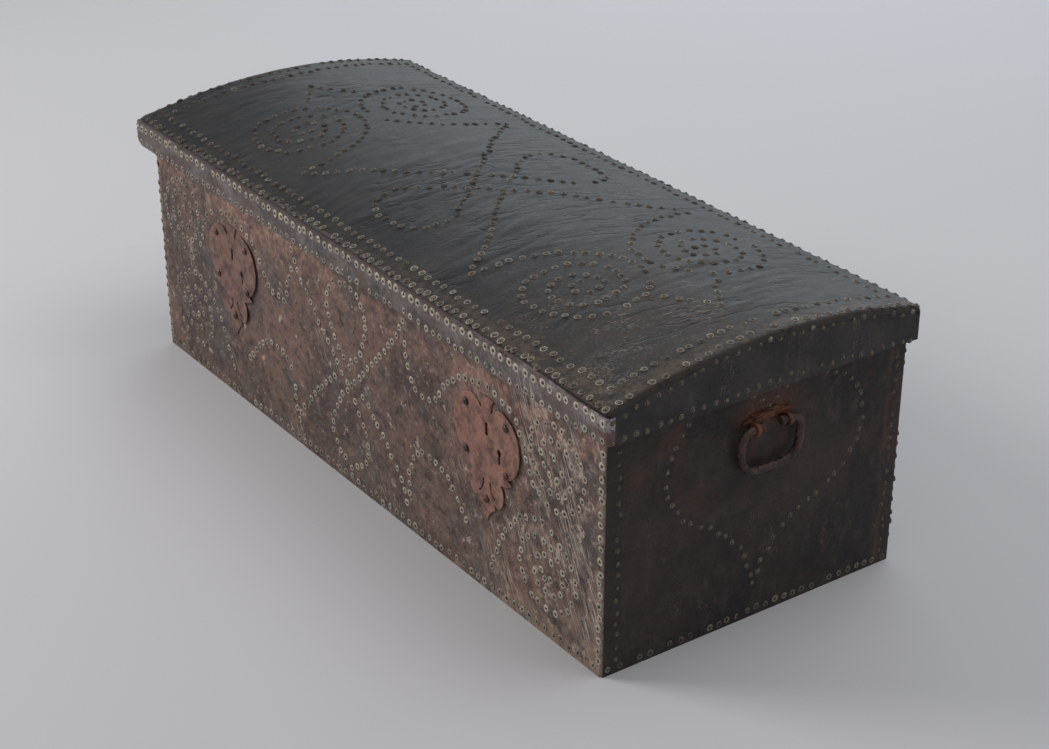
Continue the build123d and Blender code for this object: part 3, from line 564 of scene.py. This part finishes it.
def rimmed(rim, dome):
    """The front's nail: a small dome in a broad rim."""
    return ((0, dome, 0.15), (0.9, 0.7 * dome, 0.2), (1.6, 0.1 * dome, 0.3), (2.2, 0.4 * rim, 0.8),
            (3.5, rim, 1), (5.0, 0.5 * rim, 1), (5.7, -0.3, 0.8))


def dished(rim, dome):
    """The lid's nail: a fuller dome in a dish with a narrow rim."""
    return ((0, dome, 0), (1.5, 0.85 * dome, 0), (2.6, 0.3 * dome, 0.15), (3.2, 0.1 * rim, 0.5),
            (3.8, 0.8 * rim, 0.95), (4.5, rim, 1), (5.3, -0.3, 0.8))


# The nail of the ends is a dome with hardly a rim.
PLAIN = ((0, 2.4, 0), (1.4, 2.1, 0), (2.5, 1.2, 0.1), (3.1, 0.1, 0.4), (3.8, 0.25, 0.75), (4.1, -0.3, 0.7))
rimmed_nails = [nail_shape(rimmed(rim, dome)) for rim, dome in ((0.6, 2.1), (0.8, 1.7), (1.0, 1.9))]
dished_nails = [nail_shape(dished(rim, dome)) for rim, dome in ((0.6, 2.6), (0.9, 2.3), (1.1, 2.5))]
plain_nails = [nail_shape(PLAIN)]


def curve_through(points, steps=12):
    """A smooth line through points of the plane, and straight through only two."""
    points = [Vector(p) for p in points]
    if len(points) == 2:
        return points
    ends = [2 * points[0] - points[1]] + points + [2 * points[-1] - points[-2]]
    line = []
    for before, start, stop, after in zip(ends, ends[1:], ends[2:], ends[3:]):
        for k in range(steps):
            t = k / steps
            line.append(0.5 * (2 * start + (stop - before) * t
                               + (2 * before - 5 * start + 4 * stop - after) * t * t
                               + (3 * start - before - 3 * stop + after) * t ** 3))
    return line + [points[-1]]


def spaced(line, pitch=PITCH):
    """Points along a line at an even pitch that divides its length, both ends included."""
    lengths = [0.0]
    for start, stop in zip(line, line[1:]):
        lengths.append(lengths[-1] + (stop - start).length)
    count = max(1, round(lengths[-1] / pitch))
    out, k = [], 0
    for i in range(count + 1):
        want = lengths[-1] * i / count
        while k < len(line) - 2 and lengths[k + 1] < want:
            k += 1
        share = (want - lengths[k]) / max(lengths[k + 1] - lengths[k], 1e-9)
        out.append(line[k].lerp(line[k + 1], share))
    return out


def flipped(line, about, axis):
    """The line mirrored in the plane, about a value of its first or second axis."""
    out = []
    for point in line:
        twin = Vector(point)
        twin[axis] = 2 * about - twin[axis]
        out.append(twin)
    return out


def in_metres(*points):
    """Points of a plane that are written in millimetres."""
    return [(0.001 * a, 0.001 * b) for a, b in points]


class Face:
    """One covered face of the chest. Nails are driven into its hides from a plane held off them, with
    its origin and two axes given, and wear scales their tone from place to place."""

    def __init__(self, hides, origin, first, second, keep_off=(), wear=lambda point: 1.0):
        self.hides = [bpy.data.objects[name] for name in hides]
        self.keep_off = [bpy.data.objects[name] for name in keep_off]
        self.origin, self.first, self.second = Vector(origin), Vector(first), Vector(second)
        self.inward = -self.first.cross(self.second)
        self.wear = wear
        self.bm = bmesh.new()
        self.used = []

    def hit(self, start, things):
        """The first place and slope that a nail from start comes to on the given things, or None."""
        best = None
        for thing in things:
            found, place, normal, face = thing.ray_cast(start, self.inward)
            if found and (best is None or (place - start).length < (best[0] - start).length):
                best = (place, normal)
        return best

    def drive(self, point, tone, shapes, size=1.0, wander=0.0013, upright=0.0):
        """One nail near a point of the plane, unless another or an iron plate is in its way."""
        point = Vector(point)
        if any((point - other).length < 0.6 * PITCH for other in self.used):
            return
        point += Vector((chance.gauss(0, wander), chance.gauss(0, wander)))
        start = self.origin + self.first * point.x + self.second * point.y
        seat = self.hit(start, self.hides)
        if seat is None or self.hit(start, self.keep_off) or chance.random() < LOST:
            return
        place, normal = seat
        self.used.append(point)
        lean = Vector((chance.gauss(0, 0.06), chance.gauss(0, 0.06), chance.gauss(0, 0.06)))
        normal = normal - upright * self.inward + lean
        turn = normal.to_track_quat("Z", "Y").to_matrix().to_4x4()
        spin = Matrix.Rotation(chance.uniform(0, math.tau), 4, "Z")
        scale = Matrix.Scale(size * chance.uniform(0.9, 1.08), 4)
        mesh = chance.choice(shapes).copy()
        mesh.transform(Matrix.Translation(place) @ turn @ spin @ scale)
        shade = held(chance.gauss(tone * self.wear(point), 0.10))
        mesh.attributes["tone"].data.foreach_set("value", [shade] * len(mesh.vertices))
        self.bm.from_mesh(mesh)
        bpy.data.meshes.remove(mesh)

    def row(self, points, tone, shapes=rimmed_nails, pitch=PITCH, size=1.0, curved=True, upright=0.0):
        """Nails along a line of plane points."""
        line = curve_through(points) if curved else [Vector(p) for p in points]
        for point in spaced(line, pitch):
            self.drive(point, tone, shapes, size, upright=upright)


def nail_finish():
    """Brass gone brown on the head, with painted shade in the near-black ring round it, and a rim of hide and
    brass worn pale: the tone runs from 0, dark with dirt, to 1, rubbed bright."""
    f = Finish("brass_nails", Specular_IOR_Level=0.5)
    zone = f.node("Attribute", {"attribute_name": "zone"}, out="Fac")
    tone = f.node("Attribute", {"attribute_name": "tone"}, out="Fac")
    shaded_crevice, rim = f.rise(zone, 0.08, 0.35), f.rise(zone, 0.55, 0.85)
    dirt = f.rise(f.noise(0.0024, 4.0, 0.65), 0.44, 0.60)
    colour = f.mix(tone, (0.040, 0.032, 0.021), (0.20, 0.170, 0.115))
    # Painted shade: the dark ring between head and rim is coloured near black as if in shadow.
    colour = f.mix(shaded_crevice, colour, (0.010, 0.008, 0.006))
    colour = f.mix(rim, colour, f.mix(tone, (0.022, 0.017, 0.013), (0.64, 0.55, 0.44)))
    colour = f.mix(dirt * 0.5, colour, (0.030, 0.022, 0.017))
    f.feed(f.shader.inputs["Metallic"], (1.0 - shaded_crevice) * (0.75 - 0.5 * dirt))
    f.relief(f.noise(0.0014, 2.0) * 0.25)
    return f.finish(colour, 0.30 + 0.25 * dirt + 0.3 * shaded_crevice)


brass = nail_finish()

# The front: scrolls in both outer thirds, garlands beside the locks, crossing ribbons in the middle.
front = Face(["front_hide"], (0, -0.5, 0), (1, 0, 0), (0, 0, 1), ["left_lock_plate", "right_lock_plate"],
             wear=lambda point: min(1.0, 0.95 + 0.55 * min(0.1, point.x)))
FRONT_MIDDLE = -0.007  # the ornament was set out a little left of the middle
ribbons = (
    in_metres((-7, 28), (-42, 46), (-56, 76), (-38, 116), (-7, 152), (50, 208), (99, 258), (124, 284),
              (138, 312)),
    in_metres((-7, 309), (-42, 302), (-58, 270), (-47, 229), (-28, 205), (-7, 190), (28, 158), (70, 124),
              (106, 89), (130, 60), (138, 40)),
    in_metres((138, 312), (142, 280), (147, 263), (159, 231), (173, 222), (194, 222), (212, 228), (237, 257),
              (264, 282), (290, 292), (330, 298), (365, 291)),
    in_metres((145, 58), (148, 89), (157, 120), (169, 130), (185, 137), (224, 133), (242, 124), (264, 103),
              (285, 81)))
scrolls = (
    in_metres((382, 286), (397, 276), (404, 263), (414, 249), (417, 233), (426, 219), (433, 206), (445, 198),
              (462, 190), (481, 190), (498, 194), (514, 205), (526, 215), (533, 228), (536, 243), (537, 259),
              (529, 274), (521, 285), (507, 297), (491, 304), (476, 305), (458, 300), (441, 294), (430, 281),
              (428, 268), (428, 255), (432, 238), (441, 226), (453, 216), (469, 211), (485, 212), (499, 219),
              (508, 233), (514, 246), (510, 266), (501, 279), (484, 283), (468, 283), (454, 274), (450, 259),
              (455, 243), (466, 234), (483, 232), (492, 246), (475, 261)),
    in_metres((341, 43), (346, 56), (354, 71), (359, 83), (367, 98), (373, 111), (384, 124), (393, 135),
              (405, 147), (418, 153), (436, 159), (453, 161), (472, 156), (489, 144), (503, 138), (512, 126),
              (521, 109), (522, 92), (515, 75), (506, 60), (494, 50), (480, 43), (462, 41), (444, 42),
              (430, 46), (416, 58), (410, 70), (404, 85), (406, 99), (410, 115), (422, 127), (436, 134),
              (455, 135), (471, 132), (484, 122), (496, 109), (497, 92), (490, 77), (478, 67), (459, 66),
              (444, 70), (436, 82), (433, 99), (442, 110), (457, 116), (471, 112), (479, 98), (470, 86),
              (457, 83), (451, 92)))
for line in ribbons:
    line = curve_through(line)
    for half in (line, flipped(line, FRONT_MIDDLE, 0)):
        front.row(half, 0.68, pitch=0.0160, curved=False)
for line in scrolls:
    for half in (line, flipped(line, FRONT_MIDDLE, 0)):
        for point in half:
            front.drive(point, 0.68, rimmed_nails, wander=0.0006)
for x in (HIDE_LOW.x + EDGE, HIDE_HIGH.x - EDGE):
    front.row([(x, ROW_FOOT), (x, ROW_TOP)], 0.7, pitch=0.0160)
front.row([(-FOOT_END, 0.011), (FOOT_END, 0.011)], 0.5)
piece("front_nails", front.bm, brass, "chest", "brass")

# The ends: a heart under the handle, and rows along the wrapped edges and the foot.
heart = (
    in_metres((10, 300), (28, 314), (62, 325), (100, 321), (138, 304), (160, 277), (168, 245), (164, 208),
              (151, 186), (126, 164), (98, 149), (68, 136), (40, 115), (19, 91), (7, 66), (-1, 48)),
    in_metres((10, 300), (-14, 318), (-60, 328), (-102, 320), (-128, 302), (-141, 267), (-147, 230),
              (-138, 210), (-122, 184), (-92, 165), (-65, 146), (-38, 123), (-20, 104), (-10, 76), (-1, 48)))
for name, side in (("left", -1), ("right", 1)):
    end = Face([f"{name}_end_hide", "front_hide", "back_hide"], (side * 0.8, 0, 0), (0, side, 0), (0, 0, 1))
    for line in heart:
        end.row([(side * y, z) for y, z in line], 0.9, plain_nails)
    for y in (-0.2190, 0.2220):
        end.row([(side * y, ROW_FOOT), (side * y, ROW_TOP)], 0.6, plain_nails, size=0.9)
    end.row([(-0.228, 0.009), (0.228, 0.009)], 0.24, pitch=0.0155, size=0.9)
    piece(f"{name}_end_nails", end.bm, brass, "chest", "brass")

# The back, plain but for its edge rows.
back = Face(["back_hide"], (0, 0.5, 0), (-1, 0, 0), (0, 0, 1))
for x in (HIDE_LOW.x + EDGE, HIDE_HIGH.x - EDGE):
    back.row([(x, ROW_FOOT), (x, ROW_TOP)], 0.3)
back.row([(-FOOT_END, 0.011), (FOOT_END, 0.011)], 0.3)
piece("back_nails", back.bm, brass, "chest", "brass")

# The lid's top: two rows round the edge, four scrolls, and two ribbons that cross in the middle.
top = Face(["lid_top_leather"], (0, 0, 0.8), (1, 0, 0), (0, 1, 0),
           wear=lambda point: held(0.22 + 0.75 * point.x - point.y, 0.10, 0.64))
LID_MIDDLE = (0.005, -0.008)  # the four quarters are turned over about it
quarters = (
    in_metres((5, -179), (34, -176), (60, -163), (73, -135), (66, -108), (38, -77), (5, -44), (-56, 18),
              (-91, 52), (-143, 97), (-190, 150), (-209, 168)),
    in_metres((221, -183), (223, -165), (228, -130), (239, -98), (255, -72), (273, -48), (303, -26),
              (334, -18), (363, -20), (392, -35), (416, -58), (427, -88), (428, -120), (416, -149),
              (388, -170), (357, -179), (328, -177), (300, -163), (286, -137), (283, -101), (296, -74),
              (318, -56), (346, -49), (376, -60), (393, -86), (396, -119), (381, -142), (350, -151),
              (324, -141), (312, -113), (318, -94), (341, -79), (359, -82), (369, -96), (365, -113),
              (350, -121), (337, -113), (338, -100)),
    in_metres((424, -58), (445, -48), (463, -32), (480, -19), (498, -9)))
for line in quarters:
    line = curve_through(line)
    for half in (line, flipped(line, LID_MIDDLE[0], 0)):
        for quarter in (half, flipped(half, LID_MIDDLE[1], 1)):
            top.row(quarter, 0.50, dished_nails, pitch=0.0168, curved=False)
top.row([(-0.592, -0.2458), (-0.300, -0.2460), (0.420, -0.2466), (0.586, -0.2486)], 0.62, dished_nails,
        pitch=0.0164, size=1.06, upright=0.9)
top.row([(-0.586, 0.2360), (0.586, 0.2360)], 0.40, dished_nails, pitch=0.0180, upright=0.6)
for y in (-0.2240, 0.2120):
    top.row([(-0.559, y), (0.559, y)], 0.62, dished_nails, pitch=0.0180)
for x in (-1, 1):
    top.row([(x * 0.588, -0.235), (x * 0.590, -0.190), (x * 0.586, -0.100), (x * 0.580, -0.008),
             (x * 0.586, 0.090), (x * 0.588, 0.222)], 0.62, dished_nails)
    top.row([(x * 0.561, -0.207), (x * 0.558, -0.110), (x * 0.554, -0.008), (x * 0.557, 0.100),
             (x * 0.559, 0.195)], 0.54, dished_nails)
piece("lid_top_nails", top.bm, brass, "lid", "brass")

# The bands round the lid: an upper row and a lower row on each.
band = Face(["lid_front_leather"], (0, -0.5, 0), (1, 0, 0), (0, 0, 1),
            wear=lambda point: 0.88 + 0.25 * min(0.4, point.x))
band.row([(-0.606, 0.3590), (-0.580, 0.3615), (0.150, 0.3635), (0.584, 0.3590)], 0.92, size=1.1)
band.row([(-0.610, 0.3365), (0.584, 0.3360)], 0.62, size=0.92)
piece("lid_front_band_nails", band.bm, brass, "lid", "brass")
arch = in_metres((-244, 364), (-212, 368), (-163, 380), (-120, 390), (-60, 397), (-6, 400), (60, 397),
                 (117, 391), (152, 385), (185, 380), (222, 374))
foot = in_metres((-244, 336), (-152, 339), (-60, 343), (24, 344), (96, 342), (157, 339), (209, 337),
                 (227, 335))
for name, side in (("left", -1), ("right", 1)):
    band_hide = "lid_left_leather" if name == "left" else "lid_right_hide"
    hides = [band_hide, "lid_front_leather", "lid_top_leather"]
    end = Face(hides, (side * 0.8, 0, 0), (0, side, 0), (0, 0, 1))
    end.row([(side * y, z) for y, z in arch], 0.75, plain_nails)
    end.row([(side * y, z) for y, z in foot], 0.80, plain_nails)
    piece(f"lid_{name}_band_nails", end.bm, brass, "lid", "brass")


# ---- Locks: pierced plates of sheet iron over the leather, with their nails and inner works ----
# Cut from thin sheet with a chisel and filed, then left to rust to an even matt red-brown.
# The bolt, case and spring behind them are bare dark iron with a film of old grease.
def rust_finish(name, dark, mid, bright, bloom, rough):
    """Rusted iron: dark scale, an even brown coat, and bright powdery patches of the given share."""
    f = Finish(name, Specular_IOR_Level=0.4)
    coat = f.noise(0.022, 6.0, 0.65)
    spots = f.noise(0.0040, 5.0, 0.68, shift=3.0)
    powder = f.rise(f.noise(0.012, 5.0, 0.6, shift=8.0), 0.62 - 0.3 * bloom, 0.8 - 0.3 * bloom)
    colour = f.mix(f.rise(coat, 0.36, 0.60), dark, mid)
    colour = f.mix(f.rise(spots, 0.54, 0.74) * 0.5, colour, dark)
    colour = f.mix(powder * 0.8, colour, bright)
    f.relief(coat * 0.3 + spots * 0.4 + f.noise(0.0012, 2.0) * 0.12)
    return f.finish(colour, rough - 0.2 * f.rise(coat, 0.5, 0.7) + 0.12 * powder)


def forged(node, voxel, wear, swell=0.0, rounds=3):
    """The smith's piece from its plain one: merged, rounded by smoothing, then pitted."""
    rough = bpy.data.objects.new(node + "_rough", bpy.data.meshes.new(node + "_rough"))
    bm = merged(node)
    bm.to_mesh(rough.data)
    bm.free()
    bpy.context.scene.collection.objects.link(rough)
    skin = rough.modifiers.new("skin", "REMESH")
    skin.mode, skin.voxel_size = "VOXEL", voxel
    skinned = bpy.data.meshes.new_from_object(rough.evaluated_get(bpy.context.evaluated_depsgraph_get()))
    bpy.data.objects.remove(rough)
    bm = bmesh.new()
    bm.from_mesh(skinned)
    bpy.data.meshes.remove(skinned)
    for k in range(rounds):
        bmesh.ops.smooth_vert(bm, verts=bm.verts, factor=0.5, use_axis_x=True, use_axis_y=True,
                              use_axis_z=True)
    bm.normal_update()
    for vert in bm.verts:
        pit = noise.fractal(vert.co / 0.005, 1.0, 2.0, 3)
        vert.co += vert.normal * (swell + wear * (min(pit, 0.3) - 0.1))
    return bm


PROUD = 0.0018  # how far each plate's right edge stands off the leather
TIPS = 0.0035  # how far the leaf tips at its lower corners stand off
plate_rusts = {
    "left": rust_finish("rust_plate_left", (0.092, 0.051, 0.041), (0.213, 0.112, 0.087),
                        (0.27, 0.130, 0.090), 0.3, 0.58),
    "right": rust_finish("rust_plate_right", (0.128, 0.066, 0.052), (0.305, 0.150, 0.113),
                         (0.38, 0.170, 0.112), 0.3, 0.58)}
dark_iron = rust_finish("iron_dark", (0.030, 0.022, 0.019), (0.060, 0.040, 0.032),
                        (0.11, 0.055, 0.033), 0.1, 0.55)
nail_iron = rust_finish("iron_nails", (0.050, 0.027, 0.021), (0.115, 0.062, 0.047),
                        (0.21, 0.11, 0.08), 0.2, 0.36)
for name in ("left", "right"):
    plate = f"{name}_lock_plate"
    bm = forged(plate, 0.0008, 0.0004, -0.0001, 1)
    middle = sum(corner.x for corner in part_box(plate)) / 2
    for vert in bm.verts:
        proud = held((vert.co.x - middle - 0.018) / 0.022)
        warp = 0.0008 * noise.noise(Vector((vert.co.x / 0.05, 0.0, vert.co.z / 0.05))) + PROUD * proud ** 2
        tip = max(0.0, 0.165 - vert.co.z) / 0.06 * max(0.0, abs(vert.co.x - middle) - 0.018) / 0.02
        vert.co.y -= max(0.0, warp) + TIPS * min(tip, 1.0)
    piece(f"{name}_plate_forged", bm, plate_rusts[name], "chest", "iron_red", plate)
    nails = f"{name}_lock_nails"
    bm = forged(nails, 0.0006, 0.0003, 0.0005)
    for vert in bm.verts:
        vert.co.y -= PROUD if vert.co.x > middle + 0.03 else 0.0004
    piece(f"{name}_nails_forged", bm, nail_iron, "chest", "iron_dark", nails)
inner_iron = [n for n in nodes if "_lock_" in n and not n.endswith(("_lock_plate", "_lock_nails"))]
dress(inner_iron, dark_iron)


# ---- Handles: a forged bail at each end, hung in two cotters clenched through the board ----
# Hammered iron rod and strip, deep in rust: orange powder in the eyes, dark scale on the grip.
bail_rust = rust_finish("rust_bails", (0.028, 0.017, 0.014), (0.076, 0.042, 0.033),
                        (0.150, 0.062, 0.036), 0.25, 0.5)
eye_rust = rust_finish("rust_eyes", (0.050, 0.022, 0.015), (0.125, 0.048, 0.025),
                       (0.26, 0.086, 0.034), 0.6, 0.65)
for name in ("left", "right"):
    bail, eyes = f"{name}_handle_bail", f"{name}_handle_cotters"
    grip = forged(bail, 0.0009, 0.0009, 0.0003)
    piece(f"{name}_bail_forged", grip, bail_rust, f"{name}_bail", "iron_dark", bail)
    piece(f"{name}_eyes_forged", forged(eyes, 0.0008, 0.0006, 0.0, 2), eye_rust, "chest", "iron_dark", eyes)

# Above each bail the hide has lifted and gone hard with rust.
CRUST_X, CRUST_Z = 0.5755, 0.2895
for side in (-1, 1):
    bm = bmesh.new()
    bmesh.ops.create_icosphere(bm, subdivisions=5, radius=1.0)
    for vert in bm.verts:
        spread = vert.co * (1 + 0.45 * noise.fractal(vert.co * 2.2 + Vector((side, 0, 0)), 1.0, 2.0, 4))
        ridge = 0.0022 * math.cos(3.2 * vert.co.y)
        vert.co = (side * CRUST_X + 0.0052 * spread.x, BAIL_Y + 0.0015 + 0.036 * spread.y,
                   CRUST_Z + 0.0058 * spread.z + ridge)
    piece(f"{'left' if side < 0 else 'right'}_rust_crust", bm, eye_rust, "chest", "hide_black")


# ---- Hinges: a strap on the back board and a leaf on the back rail, with a riveted pin ----
# Black smith's iron under the same brown rust as the handles.
dress([n for n in nodes if "_hinge_" in n or n.endswith(("_strap_nails", "_leaf_nails"))], bail_rust)


# ---- Studio: a plain pale floor, a broad window light from the left front, and a soft fill ----
# None of this belongs to the chest. The camera stands above and to the right of the front corner.
def studio_floor():
    bm = bmesh.new()
    bmesh.ops.create_grid(bm, x_segments=1, y_segments=1, size=40.0)
    mesh = bpy.data.meshes.new("floor")
    bm.to_mesh(mesh)
    bm.free()
    made = bpy.data.objects.new("floor", mesh)
    bpy.context.scene.collection.objects.link(made)
    f = Finish("floor_plain", Specular_IOR_Level=0.2)
    mesh.materials.append(f.finish((0.56, 0.55, 0.56), 0.85))


def area_light(name, place, aim, size, watts, colour):
    data = bpy.data.lights.new(name, "AREA")
    data.shape, data.size, data.size_y = "RECTANGLE", size[0], size[1]
    data.energy, data.color = watts, colour
    made = bpy.data.objects.new(name, data)
    made.location = place
    made.rotation_euler = (Vector(aim) - Vector(place)).to_track_quat("-Z", "Y").to_euler()
    bpy.context.scene.collection.objects.link(made)


studio_floor()
area_light("window", (-2.6, -2.8, 2.6), (0, 0, 0.2), (1.8, 1.6), 105, (1.0, 0.985, 0.96))
area_light("wall", (-2.0, 2.6, 1.5), (0, 0, 0.35), (3.6, 1.6), 34, (0.82, 0.92, 1.0))
area_light("overhead", (0.9, 0.9, 3.4), (0, 0, 0.3), (2.4, 2.4), 44, (0.97, 0.98, 1.0))
world = bpy.data.worlds.new("studio")
world.use_nodes = True
world.node_tree.nodes["Background"].inputs["Color"].default_value = (0.90, 0.93, 0.98, 1.0)
world.node_tree.nodes["Background"].inputs["Strength"].default_value = 0.34
bpy.context.scene.world = world

camera = bpy.data.cameras.new("camera")
camera.lens, camera.sensor_width = 71.23, 36.0
camera_place = bpy.data.objects.new("camera", camera)
camera_place.location = (2.2225, -1.5190, 1.4677)
camera_place.rotation_euler = (math.radians(63.18), math.radians(0.0), math.radians(54.73))
bpy.context.scene.collection.objects.link(camera_place)
bpy.context.scene.camera = camera_place
bpy.context.scene.view_settings.view_transform = "Standard"
